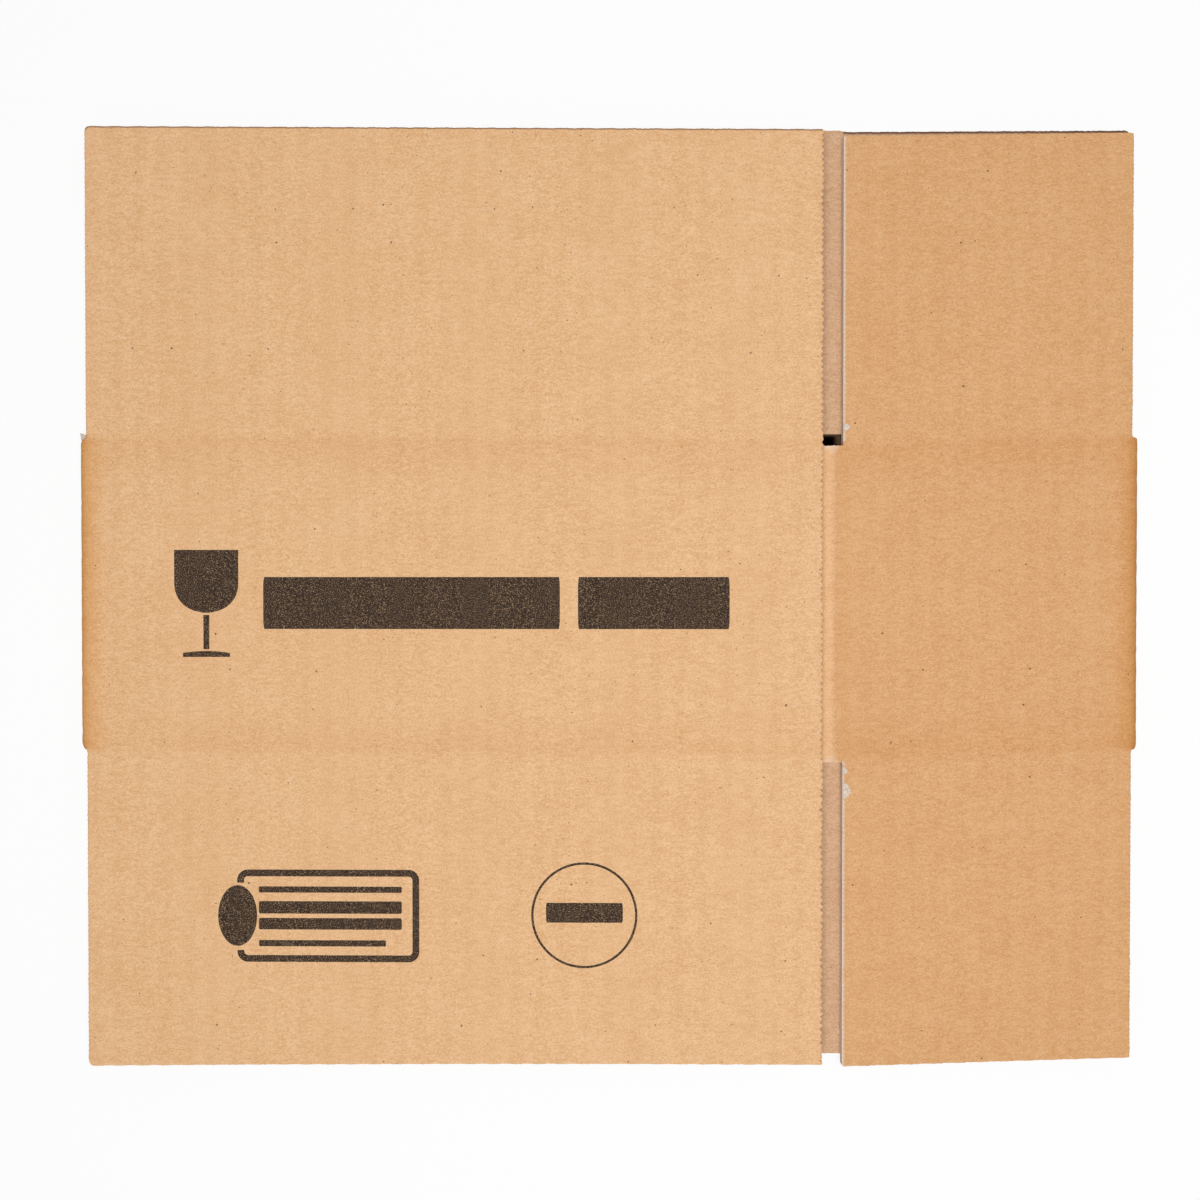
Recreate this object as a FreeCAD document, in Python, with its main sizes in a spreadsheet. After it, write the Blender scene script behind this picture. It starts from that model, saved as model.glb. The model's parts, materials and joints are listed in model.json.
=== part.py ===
import FreeCAD, Part
import math
import os
import Sketcher
from FreeCAD import Placement, Rotation, Vector

# A bottle shipping case of single-wall corrugated board, glued and folded flat.
# X runs along the long panels, Y along the flutes and Z up from the surface the case lies on.
# The strip of walls doubles back at a fold on the left and on the right, so it lies in two layers.
# All eight flaps lie open in the planes of their walls, and each turns outwards about its crease.

# Driving dimensions in millimetres
DIMENSIONS = {
    "long_panel": 256,
    "short_panel": 104,
    "wall_height": 106,
    "flap_length": 104,
    "slot_width": 6.8,
    "tab_width": 32,
    "tab_taper": 6,
    "tab_board": 2.8,
    "glue_film": 0.2,
    "glue_inset": 3,
    "glue_margin": 9,
    "board": 4,
    "liner": 0.4,
    "medium": 0.35,
    "flute_pitch": 7.9,
    "flute_crown": 1.6,
    "edge_rib": 1.2,
    "crease_gap": 0.3,
    "crease_width": 1.5,
    "crease_depth": 0.25,
    "layer_gap": 0.3,
    "fold_takeup": 0.75,
    "long_front_drift": 1.2,
    "short_front_drift": 2.8,
}

doc = FreeCAD.newDocument("shipping_case")
sheet = doc.addObject("Spreadsheet::Sheet", "Sizes")
for row, (alias, value) in enumerate(DIMENSIONS.items(), start=1):
    sheet.set(f"A{row}", alias.replace("_", " "))
    sheet.set(f"B{row}", str(value))
    sheet.setAlias(f"B{row}", alias)
doc.recompute()

# Lengths along the strip, measured from the case's middle: the folds, creases and cut edges
HALF_CASE = "(Sizes.long_panel + Sizes.short_panel) / 2"
FOLD_X = f"({HALF_CASE} - Sizes.fold_takeup - Sizes.board - Sizes.layer_gap / 2)"
CREASE_X = f"({HALF_CASE} - Sizes.short_panel)"
OUTER_EDGE = f"({HALF_CASE} - Sizes.slot_width / 2)"
INNER_EDGE = f"({CREASE_X} - Sizes.slot_width / 2)"
SHORT_EDGE = f"({CREASE_X} + Sizes.slot_width / 2)"
FRONT_Z = "(Sizes.board + Sizes.layer_gap)"

# The glue tab lifts both front walls from the folds to the seam
TAB_FREE_X = f"({CREASE_X} - Sizes.tab_width)"
TAB_SINK = "(Sizes.tab_board + Sizes.glue_film)"
LONG_RISE = f"({TAB_SINK} / ({TAB_FREE_X} + {FOLD_X}))"
SHORT_RISE = f"((({CREASE_X} + {FOLD_X}) * {LONG_RISE} - {TAB_SINK}) / ({FOLD_X} - {CREASE_X}))"

# The case was glued a little askew: the creases of both front walls run out of line with the back.
# The middle of a wall's height is BACK_Y behind, and changes with X by a constant slope in front.
SHORT_SKEW = f"(Sizes.short_front_drift / ({FOLD_X} - {CREASE_X}))"
LONG_SKEW = f"(-Sizes.long_front_drift / ({INNER_EDGE} + {FOLD_X}))"
BACK_Y = f"({SHORT_SKEW} * ({FOLD_X} * 2 - {SHORT_EDGE} - {OUTER_EDGE}) / 2)"

# Flute cells: the fluting medium zigzags between the liners with flat crowns
FLANK_RUN = "((Sizes.flute_pitch - 2 * Sizes.flute_crown) / 2)"
FLANK_RISE = "(Sizes.board - 2 * Sizes.liner - Sizes.medium)"
FLANK_WEB = f"(Sizes.medium * (sqrt({FLANK_RUN}^2 + {FLANK_RISE}^2) - {FLANK_RUN}) / {FLANK_RISE})"
CROWN_HALF = f"((Sizes.flute_crown - {FLANK_WEB}) / 2)"
FOOT_HALF = f"({CROWN_HALF} + {FLANK_RUN})"


def origin_part(body, role):
    return next(part for part in body.Origin.OriginFeatures if part.Role == role)


def new_sketch(body, name, plane):
    sketch = body.newObject("Sketcher::SketchObject", name)
    sketch.AttachmentSupport = (origin_part(body, plane), [""])
    sketch.MapMode = "FlatFace"
    return sketch


def hold(sketch, kind, edge, point, rule):
    """Hold one point of a sketch at a distance from the sketch's origin, given by a rule."""
    drawn = sketch.getPoint(edge, point)
    distance = drawn.x if kind == "DistanceX" else drawn.y
    number = sketch.addConstraint(Sketcher.Constraint(kind, edge, point, distance))
    sketch.setExpression(f"Constraints[{number}]", rule)


def pin(sketch, edge, point, across, up):
    """Hold one point of a sketch at a place given by two rules."""
    hold(sketch, "DistanceX", edge, point, across)
    hold(sketch, "DistanceY", edge, point, up)


def outline(sketch, corners):
    """Closed straight-sided outline through corners given by pairs of rules."""
    first = sketch.GeometryCount
    count = len(corners)
    turns = [2 * math.pi * index / count for index in range(count)]
    ring = [Vector(10 * math.cos(turn), 10 * math.sin(turn), 0) for turn in turns]
    for index in range(count):
        sketch.addGeometry(Part.LineSegment(ring[index], ring[(index + 1) % count]))
    for index in range(count):
        following = first + (index + 1) % count
        sketch.addConstraint(Sketcher.Constraint("Coincident", first + index, 2, following, 1))
    for index, (across, up) in enumerate(corners):
        pin(sketch, first + index, 1, across, up)


def pad_between(body, sketch, length, skew):
    """Pad a section along the body's X, drifting in Y by the skew for each unit of X."""
    pad = body.newObject("PartDesign::Pad", "board_pad")
    pad.Profile = sketch
    pad.UseCustomVector = True
    pad.Direction = Vector(1, 0, 0)
    pad.AlongSketchNormal = True
    pad.setExpression("Direction.y", skew)
    pad.setExpression("Length", length)
    return pad


def cut_through(body, sketch, name):
    """Cut a section right through the board along its flutes."""
    pocket = body.newObject("PartDesign::Pocket", name)
    pocket.Profile = sketch
    pocket.Type = "ThroughAll"
    pocket.SideType = "Symmetric"
    return pocket


def cut_flutes(body, start, end):
    """Hollow the board between its liners with one flute cell repeated along the body's X."""
    span = f"({end} - {start})"
    cell_extra = f"(Sizes.flute_pitch / 2 + 2 * {FOOT_HALF})"
    cells = f"floor(({span} - 2 * Sizes.edge_rib - {cell_extra}) / Sizes.flute_pitch)"
    middle = f"({start} + ({span} - {cells} * Sizes.flute_pitch - {cell_extra}) / 2 + {FOOT_HALF})"
    next_crown = f"({middle} + Sizes.flute_pitch / 2)"
    liner_top = "(Sizes.board - Sizes.liner)"
    sketch = new_sketch(body, "flute_cell", "XZ_Plane")
    outline(sketch, [
        (f"{middle} - {FOOT_HALF}", "Sizes.liner"),
        (f"{middle} + {FOOT_HALF}", "Sizes.liner"),
        (f"{middle} + {CROWN_HALF}", f"{liner_top} - Sizes.medium"),
        (f"{middle} - {CROWN_HALF}", f"{liner_top} - Sizes.medium"),
    ])
    outline(sketch, [
        (f"{next_crown} - {FOOT_HALF}", liner_top),
        (f"{next_crown} + {FOOT_HALF}", liner_top),
        (f"{next_crown} + {CROWN_HALF}", "Sizes.liner + Sizes.medium"),
        (f"{next_crown} - {CROWN_HALF}", "Sizes.liner + Sizes.medium"),
    ])
    cell = cut_through(body, sketch, "flute_cut")
    row = body.newObject("PartDesign::LinearPattern", "flute_row")
    row.Originals = [cell]
    row.Direction = (origin_part(body, "X_Axis"), [""])
    row.setExpression("Length", f"{cells} * Sizes.flute_pitch")
    row.setExpression("Occurrences", f"{cells} + 1")
    body.Tip = row


# Frames of the walls: where a wall's own X starts, how it rises with X and how its middle drifts in Y
LONG_FRONT = {"x": f"-{FOLD_X}", "z": FRONT_Z, "rise": LONG_RISE, "skew": LONG_SKEW}
SHORT_FRONT = {"x": FOLD_X, "z": FRONT_Z, "rise": f"-{SHORT_RISE}", "skew": SHORT_SKEW}
BACK = {"x": "0", "z": "0", "rise": "0", "skew": "0"}


def seat_in(body, wall_frame):
    """Place a body in the frame of a wall."""
    body.Placement = Placement(Vector(0, 0, 0), Rotation(Vector(0, -1, 0), 1))
    body.setExpression("Placement.Base.x", wall_frame["x"])
    body.setExpression("Placement.Base.z", wall_frame["z"])
    body.setExpression("Placement.Rotation.Angle", f"atan({wall_frame['rise']})")


def new_board(label, wall_frame, start, end, section):
    """One piece of board: a section across the flutes, padded from start to end along its frame."""
    body = doc.addObject("PartDesign::Body", label)
    body.Label = label
    sketch = new_sketch(body, "section", "YZ_Plane")
    middle_at_start = f"{BACK_Y} + {wall_frame['skew']} * {start}"
    sketch.setExpression("AttachmentOffset.Base.x", middle_at_start)
    sketch.setExpression("AttachmentOffset.Base.z", start)
    outline(sketch, section)
    body.Tip = pad_between(body, sketch, f"{end} - {start}", wall_frame["skew"])
    seat_in(body, wall_frame)
    return body


def score(body, crease, side):
    """Half of a score line that runs along the flutes, on both faces at one end of a wall."""
    inward = f"{crease} + {side} * Sizes.crease_width"
    sketch = new_sketch(body, "score_line", "XZ_Plane")
    outline(sketch, [(crease, "0"), (inward, "0"), (crease, "Sizes.crease_depth")])
    outline(sketch, [
        (crease, "Sizes.board"),
        (crease, "Sizes.board - Sizes.crease_depth"),
        (inward, "Sizes.board"),
    ])
    body.Tip = cut_through(body, sketch, "score_cut")


def new_wall(label, wall_frame, start, end, scored=None):
    """A wall between its two flap creases, each pressed in a little on both faces."""
    edge = "Sizes.wall_height / 2"
    shoulder = f"{edge} - Sizes.crease_width"
    top = "Sizes.board"
    section = [
        (f"-{edge}", "Sizes.crease_depth"),
        (f"-({shoulder})", "0"),
        (shoulder, "0"),
        (edge, "Sizes.crease_depth"),
        (edge, f"{top} - Sizes.crease_depth"),
        (shoulder, top),
        (f"-({shoulder})", top),
        (f"-{edge}", f"{top} - Sizes.crease_depth"),
    ]
    body = new_board(label, wall_frame, start, end, section)
    if scored:
        score(body, *scored)
    cut_flutes(body, start, end)
    return body


def new_flap(label, wall_frame, start, end, side):
    """A flap beyond the upper crease (side 1) or the lower one (side -1) of its wall."""
    near = "(Sizes.wall_height / 2 + Sizes.crease_gap)"
    shoulder = f"({near} + Sizes.crease_width)"
    far = f"({near} + Sizes.flap_length)"
    section = [
        (f"{side} * {near}", "Sizes.crease_depth"),
        (f"{side} * {shoulder}", "0"),
        (f"{side} * {far}", "0"),
        (f"{side} * {far}", "Sizes.board"),
        (f"{side} * {shoulder}", "Sizes.board"),
        (f"{side} * {near}", "Sizes.board - Sizes.crease_depth"),
    ]
    body = new_board(label, wall_frame, start, end, section)
    cut_flutes(body, start, end)
    return body


def new_fold(label, rise, turned):
    """The flattened fold that joins the back wall to a front wall: a crushed half-round roll."""
    body = doc.addObject("PartDesign::Body", label)
    body.Label = label
    gap = sheet.layer_gap
    radius = sheet.board + gap / 2
    fold_x = (sheet.long_panel + sheet.short_panel) / 2 - sheet.fold_takeup - radius
    turn = radius * math.sqrt(0.5)
    foot = Vector(-fold_x, 0, 0)
    slit_low = Vector(-fold_x, radius - gap / 2, 0)
    slit_end = Vector(-fold_x - gap / 2, radius, 0)
    slit_high = Vector(-fold_x, radius + gap / 2, 0)
    crown = Vector(-fold_x, 2 * radius, 0)
    upper_bulge = Vector(-fold_x - turn, radius + turn, 0)
    apex = Vector(-fold_x - radius, radius, 0)
    lower_bulge = Vector(-fold_x - turn, radius - turn, 0)
    sketch = new_sketch(body, "fold_section", "XZ_Plane")
    sketch.addGeometry(Part.LineSegment(foot, slit_low))
    sketch.addGeometry(Part.Arc(slit_high, slit_end, slit_low))
    sketch.addGeometry(Part.LineSegment(slit_high, crown))
    sketch.addGeometry(Part.Arc(crown, upper_bulge, apex))
    sketch.addGeometry(Part.Arc(apex, lower_bulge, foot))
    joins = ((0, 2, 1, 2), (1, 1, 2, 1), (2, 2, 3, 1), (3, 2, 4, 1), (4, 2, 0, 1))
    for join in joins:
        sketch.addConstraint(Sketcher.Constraint("Coincident", *join))
    middle_z = "(Sizes.board + Sizes.layer_gap / 2)"
    crown_x = f"-{FOLD_X} - Sizes.board * sin(atan({rise}))"
    pin(sketch, 0, 1, f"-{FOLD_X}", "0")
    pin(sketch, 0, 2, f"-{FOLD_X}", "Sizes.board")
    pin(sketch, 2, 1, f"-{FOLD_X}", FRONT_Z)
    pin(sketch, 2, 2, crown_x, f"{FRONT_Z} + Sizes.board * cos(atan({rise}))")
    pin(sketch, 3, 2, f"-{FOLD_X} - {middle_z}", middle_z)
    hold(sketch, "DistanceX", 1, 3, f"-{FOLD_X}")
    hold(sketch, "DistanceY", 3, 3, middle_z)
    hold(sketch, "DistanceY", 4, 3, middle_z)
    pad = body.newObject("PartDesign::Pad", "fold_pad")
    pad.Profile = sketch
    pad.SideType = "Symmetric"
    pad.setExpression("Length", "Sizes.wall_height")
    body.Tip = pad
    body.Placement = Placement(Vector(0, 0, 0), Rotation(Vector(0, 0, 1), 180 if turned else 0))
    body.setExpression("Placement.Base.y", BACK_Y)
    return body


def new_tab():
    """The crushed glue tab: it runs from the short front wall's crease, with tapered ends, under
    the long front wall and in line with it."""
    body = doc.addObject("PartDesign::Body", "glue_tab")
    body.Label = "glue_tab"
    free = f"({FOLD_X} + {TAB_FREE_X})"
    root = f"({FOLD_X} + {CREASE_X} + Sizes.crease_width)"
    half = "Sizes.wall_height / 2"
    free_middle = f"({BACK_Y} - {SHORT_SKEW} * ({FOLD_X} - {TAB_FREE_X}))"
    root_middle = f"({BACK_Y} - {SHORT_SKEW} * ({FOLD_X} - {CREASE_X} - Sizes.crease_width))"
    sketch = new_sketch(body, "tab_plan", "XY_Plane")
    sketch.setExpression("AttachmentOffset.Base.z", "-Sizes.glue_film - Sizes.tab_board")
    outline(sketch, [
        (free, f"{free_middle} - {half} + Sizes.tab_taper"),
        (root, f"{root_middle} - {half}"),
        (root, f"{root_middle} + {half}"),
        (free, f"{free_middle} + {half} - Sizes.tab_taper"),
    ])
    pad = body.newObject("PartDesign::Pad", "tab_pad")
    pad.Profile = sketch
    pad.setExpression("Length", "Sizes.tab_board")
    body.Tip = pad
    seat_in(body, LONG_FRONT)
    return body


def new_glue():
    """The dried film of glue between the tab and the long front wall."""
    body = doc.addObject("PartDesign::Body", "glue_seam")
    body.Label = "glue_seam"
    left = f"({FOLD_X} + {TAB_FREE_X} + Sizes.glue_inset)"
    right = f"({FOLD_X} + {INNER_EDGE} - Sizes.glue_inset)"
    middle = f"({BACK_Y} - {SHORT_SKEW} * ({FOLD_X} - {TAB_FREE_X}))"
    half = "(Sizes.wall_height / 2 - Sizes.glue_margin)"
    sketch = new_sketch(body, "glue_plan", "XY_Plane")
    sketch.setExpression("AttachmentOffset.Base.z", "-Sizes.glue_film")
    outline(sketch, [
        (left, f"{middle} - {half}"),
        (right, f"{middle} - {half}"),
        (right, f"{middle} + {half}"),
        (left, f"{middle} + {half}"),
    ])
    pad = body.newObject("PartDesign::Pad", "glue_pad")
    pad.Profile = sketch
    pad.setExpression("Length", "Sizes.glue_film")
    body.Tip = pad
    seat_in(body, LONG_FRONT)
    return body


# The sleeve: four walls, two flattened folds and the glue tab, one folded strip of board
SLEEVE_PIECES = [
    new_wall("long_front_wall", LONG_FRONT, "0", f"({INNER_EDGE} + {FOLD_X})"),
    new_wall("short_front_wall", SHORT_FRONT, f"({CREASE_X} - {FOLD_X})", "0"),
    new_wall("long_back_wall", BACK, f"(-{CREASE_X})", FOLD_X, (f"(-{CREASE_X})", 1)),
    new_wall("short_back_wall", BACK, f"(-{FOLD_X})", f"(-{CREASE_X})", (f"(-{CREASE_X})", -1)),
    new_fold("left_fold", LONG_RISE, False),
    new_fold("right_fold", SHORT_RISE, True),
    new_tab(),
]
sleeve = doc.addObject("Part::MultiFuse", "case_sleeve")
sleeve.Label = "case_sleeve"
sleeve.Shapes = SLEEVE_PIECES
sleeve.Refine = True

# The flaps: each wall's frame with the X of the flap's cut edges
FLAP_SPANS = {
    "front_long": (LONG_FRONT, f"({FOLD_X} - {OUTER_EDGE})", f"({INNER_EDGE} + {FOLD_X})"),
    "front_short": (SHORT_FRONT, f"({SHORT_EDGE} - {FOLD_X})", f"({OUTER_EDGE} - {FOLD_X})"),
    "back_long": (BACK, f"(-{INNER_EDGE})", OUTER_EDGE),
    "back_short": (BACK, f"(-{OUTER_EDGE})", f"(-{SHORT_EDGE})"),
}
flaps = []
for place, (wall_frame, start, end) in FLAP_SPANS.items():
    for height, side in (("upper", 1), ("lower", -1)):
        flaps.append(new_flap(f"{place}_{height}_flap", wall_frame, start, end, side))

nodes = [sleeve, new_glue(), *flaps]
doc.recompute()

for item in doc.Objects:
    if "Invalid" in item.State or "Error" in item.State:
        raise RuntimeError(f"{item.Label} failed to build: {item.State}")
for node in nodes:
    if node.Shape.isNull() or not node.Shape.isValid():
        raise RuntimeError(f"{node.Label} has no sound shape")
    if len(node.Shape.Solids) != 1:
        raise RuntimeError(f"{node.Label} is {len(node.Shape.Solids)} solids")

os.makedirs("parts", exist_ok=True)
for node in nodes:
    node.Shape.exportStep(f"parts/{node.Label}.step")
    box = node.Shape.BoundBox
    print(f"{node.Label}: {node.Shape.Volume / 1000:.2f} cm3, Z {box.ZMin:.2f} to {box.ZMax:.2f}")
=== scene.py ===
"""Looks of a bottle shipping case of corrugated board, glued and folded flat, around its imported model.

Every board is built as the real one is: two liners with a waving medium between them, and the cut
edges, creases and folds that the die and the gluer leave. Lengths are metres, and MM turns millimetres.
"""

import json

import bpy
import numpy as np
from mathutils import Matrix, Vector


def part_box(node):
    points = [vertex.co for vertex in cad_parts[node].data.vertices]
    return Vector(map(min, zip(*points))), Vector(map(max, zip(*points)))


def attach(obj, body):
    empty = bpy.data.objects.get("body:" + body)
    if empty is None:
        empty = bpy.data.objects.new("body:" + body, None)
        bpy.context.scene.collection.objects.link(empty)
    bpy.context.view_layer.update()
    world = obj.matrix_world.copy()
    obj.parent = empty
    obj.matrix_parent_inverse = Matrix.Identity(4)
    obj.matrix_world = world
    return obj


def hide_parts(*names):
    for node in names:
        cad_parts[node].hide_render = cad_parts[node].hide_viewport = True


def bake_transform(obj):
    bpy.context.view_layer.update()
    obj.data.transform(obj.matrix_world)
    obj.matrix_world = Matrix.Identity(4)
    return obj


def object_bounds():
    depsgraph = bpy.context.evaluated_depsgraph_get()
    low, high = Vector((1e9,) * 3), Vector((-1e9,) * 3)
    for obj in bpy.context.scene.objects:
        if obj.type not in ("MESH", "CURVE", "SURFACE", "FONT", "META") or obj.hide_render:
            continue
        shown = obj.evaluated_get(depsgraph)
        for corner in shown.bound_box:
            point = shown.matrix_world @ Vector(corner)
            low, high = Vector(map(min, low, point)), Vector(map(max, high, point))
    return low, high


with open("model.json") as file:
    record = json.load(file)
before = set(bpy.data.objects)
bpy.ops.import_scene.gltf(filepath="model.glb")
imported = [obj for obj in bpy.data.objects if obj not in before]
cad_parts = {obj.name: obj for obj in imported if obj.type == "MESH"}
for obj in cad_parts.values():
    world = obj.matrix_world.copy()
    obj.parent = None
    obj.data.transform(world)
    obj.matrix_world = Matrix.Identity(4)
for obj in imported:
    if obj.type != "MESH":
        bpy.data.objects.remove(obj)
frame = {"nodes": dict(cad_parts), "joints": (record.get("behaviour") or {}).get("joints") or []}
CAD_BOX = [list(corner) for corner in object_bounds()]

bl_info = {
    "name": "Folded bottle shipping case",
    "version": (1, 0, 0),
    "blender": (4, 5, 0),
    "location": "3D View > Sidebar > Shipping case",
    "description": "Builds a flat-folded corrugated bottle case with its print, camera and light",
    "category": "Add Mesh",
}

MM = 0.001
TURN = 2 * np.pi


def srgb(code):
    """A six-digit sRGB hex code as linear red, green and blue."""
    channels = np.array([int(code[at:at + 2], 16) for at in (0, 2, 4)]) / 255
    linear = np.where(channels <= 0.04045, channels / 12.92, ((channels + 0.055) / 1.055) ** 2.4)
    return tuple(float(value) for value in linear)


def length(name, text, millimetres):
    """A length of the panel, given in millimetres."""
    return bpy.props.FloatProperty(
        name=name, description=text, default=millimetres * MM, min=0.0, unit="LENGTH", precision=5
    )


def colour(name, text, code):
    """A colour of the panel, given as a hex code."""
    return bpy.props.FloatVectorProperty(
        name=name, description=text, default=srgb(code), subtype="COLOR", min=0.0, max=1.0
    )


class CaseSizes(bpy.types.PropertyGroup):
    """Sizes of the board, its cut edges and its print."""

    liner: length("Liner", "Thickness of each liner", 0.4)
    medium: length("Medium", "Thickness of the fluting medium", 0.35)
    flute_pitch: length("Flute pitch", "From one flute to the next", 7.9)
    washboard: length("Washboard", "How far the liner sags between two flutes", 0.07)
    crease_reach: length("Crease reach", "Bent board on each side of a flap's crease", 2.5)
    crease_dent: length("Crease dent", "Depth of a pressed crease on each face", 0.16)
    fold_reach: length("Fold reach", "From the flat wall to the fold's outermost line", 5.6)
    slit_reach: length("Slit reach", "From the fold's outermost line to the collapsed inside", 4.0)
    edge_band: length("Edge band", "Width of the finely meshed strip along a cut edge", 3.0)
    long_tooth: length("Coarse teeth", "Pitch of the rule that cut the long flaps", 2.12)
    short_tooth: length("Fine teeth", "Pitch of the rule that cut the short flaps", 1.59)
    tooth_depth: length("Tooth depth", "Depth of the teeth in a cut edge", 0.5)
    corner_radius: length("Corner radius", "Rounding of a flap's outer corners", 1.8)
    root_upper: length("Upper slot root", "From the middle up to the upper end of the glued corner", 51.2)
    root_lower: length("Lower slot root", "From the middle down to its lower end", 55.8)
    pit: length("Pit", "Depth of the crushed hollow at the upper slot root", 2.9)
    film: length("Ink film", "How far the ink stands above the liner", 0.02)


class CaseColours(bpy.types.PropertyGroup):
    """Colours of the liners, the medium, the ink and the torn fibres."""

    kraft: colour("Kraft liner", "Outside of the board", "EFC598")
    kraft_deep: colour("Deep kraft", "Darker fibre bundles of the outside", "DAA775")
    testliner: colour("Testliner", "Inside of the board", "E0BD9C")
    testliner_deep: colour("Deep testliner", "Darker fibre bundles of the inside", "CCA382")
    medium: colour("Medium", "Fluting between the liners", "B08A62")
    torn: colour("Torn fibres", "Fibres laid bare by cuts and tears", "EDE1D5")
    ink: colour("Ink", "Flexographic print", "231812")
    glue: colour("Glue", "Dried glue film", "9C7B50")


class Wall:
    """Outer surface of a wall with its two flaps, read from the flaps' creases and boxes. The tone is
    the share of its deeper colour, and the seed starts the chance in its cut edges."""

    def __init__(self, place, tone, seed):
        creases = {joint["child"]: joint for joint in frame["joints"]}
        upper = creases[f"{place}_upper"]
        lower = creases[f"{place}_lower"]
        axis = np.array(upper["axis"]) / upper["axis"][0]
        x, y, z = upper["pos_m"]
        self.place = place
        self.tone = tone
        self.seed = seed
        self.skew = axis[1]
        self.slope = axis[2]
        self.height = z - self.slope * x
        self.half = (y - lower["pos_m"][1]) / 2
        self.middle = (y + lower["pos_m"][1]) / 2 - self.skew * x
        self.face = 1 if place.startswith("front") else -1
        low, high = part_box(f"{place}_upper_flap")
        self.left = low.x
        self.right = high.x

    def middle_at(self, x):
        """The y of the wall's middle line at x."""
        return self.middle + self.skew * x


LONG_FRONT = Wall("front_long", tone=0.0, seed=10)
SHORT_FRONT = Wall("front_short", tone=1.0, seed=11)
LONG_BACK = Wall("back_long", tone=0.5, seed=9)
SHORT_BACK = Wall("back_short", tone=0.5, seed=10)
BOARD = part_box("back_long_upper_flap")[1].z
FLAP_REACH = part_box("back_long_upper_flap")[1].y - LONG_BACK.middle - LONG_BACK.half
APEX = CAD_BOX[1][0]
CREASE_X = (SHORT_FRONT.left + LONG_FRONT.right) / 2
# The slot was cut a little to the left of its crease.
LONG_FRONT.right -= 0.75 * MM
SHORT_FRONT.left -= 0.6 * MM

# The glue tab, and where it passes into the short front wall.
TAB_WIDTH = 32 * MM
TAB_TAPER = 6 * MM
TAB_BOARD = 2.8 * MM
TAB_JOIN = CREASE_X + 1.2 * MM

# The crushed hollow under the slot's upper root, the width over which its sides fade, and from where
# on the near-black painted shade in it is a little lighter on its right part.
PIT_X = (70.5 * MM, 81 * MM)
PIT_Y = (50.4 * MM, 55.5 * MM)
PIT_FADE_X = 1.2 * MM
PIT_FADE_Y = 0.6 * MM
PIT_PAINTED_LIGHT_X = 76.5 * MM
PIT_PAINTED_LIGHT_FADE = 2.5 * MM

# Power of the superellipse that a flattened fold follows.
FOLD_POWER = 2.2

# Steps between mesh points: on flat board, on bent board, on toothed edges, on the tab and the printed
# bars, along and round a fold, and how many steps one flute has.
FLAT_STEP = 13 * MM
BEND_STEP = 0.5 * MM
TOOTH_STEP = 0.35 * MM
FINE_STEP = 0.66 * MM
FOLD_STEP = 2 * MM
FOLD_TURN = np.pi / 40
FLUTE_STEPS = 12

# Where a flap's rows lie close: beside its crease, and before its cut end.
BEND_ROWS = (-2.5 * MM, 5 * MM)
END_REACH = 3 * MM
END_ROWS = np.array((2, 1.5, 1.2, 0.9, 0.7, 0.5, 0.35, 0.2, 0)) * MM

# Shares of the edge band at which the columns beside a cut edge lie.
EDGE_COLUMNS = np.array((0, 0.3, 0.7, 1.3, 2.1, 3.0)) / 3.0


def ripple(where, wavelength, seed):
    """Smooth noise between about -1 and 1: a sum of six sines of random phase near one wavelength."""
    rng = np.random.default_rng(seed)
    waves = zip(rng.uniform(0.45, 2.1, 6), rng.uniform(0, TURN, 6))
    return sum(np.sin(TURN * where * rate / wavelength + phase) for rate, phase in waves) / 3


def smooth_step(value):
    """Three times the square less twice the cube of a value held between 0 and 1."""
    held = np.clip(value, 0, 1)
    return held * held * (3 - 2 * held)


def flute_phase(x, sizes):
    """The cosine of x over the flute pitch: 1 where the medium touches the outer liner."""
    return np.cos(TURN * x / sizes.flute_pitch)


def fold_drop(x, wall, sizes):
    """How far the rounding of a flattened fold lies below its wall's plane: a superellipse quarter
    that leaves the plane where the fold starts and falls to the middle of the case at the apex."""
    part = np.clip((np.abs(x) - APEX + sizes.fold_reach) / sizes.fold_reach, 0, 1)
    middle = fold_middle(np.sign(x))
    height = np.abs(wall.height + wall.slope * x - middle)
    return height * (1 - (1 - part ** FOLD_POWER) ** (1 / FOLD_POWER))


def fold_middle(side):
    """Height of the collapsed inside at the left (side -1) or right (side 1) fold."""
    left = LONG_FRONT.height - LONG_FRONT.slope * APEX
    right = SHORT_FRONT.height + SHORT_FRONT.slope * APEX
    return np.where(side < 0, left, right) / 2


def window(value, span, fade):
    """1 inside a span and 0 outside it, with a smooth step over the fade at each end."""
    start, end = span
    return smooth_step((value - start) / fade) * smooth_step((end - value) / fade)


def pit_share(wall, x, y):
    """1 in the hollow that the slot knife crushed into the long back wall under the upper slot root,
    and 0 outside it: the product of a window along x and one along y. It deepens the hollow and
    masks the painted shade in it."""
    if wall is not LONG_BACK:
        return np.zeros(np.shape(x))
    return window(x, PIT_X, PIT_FADE_X) * window(y, PIT_Y, PIT_FADE_Y)


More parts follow.
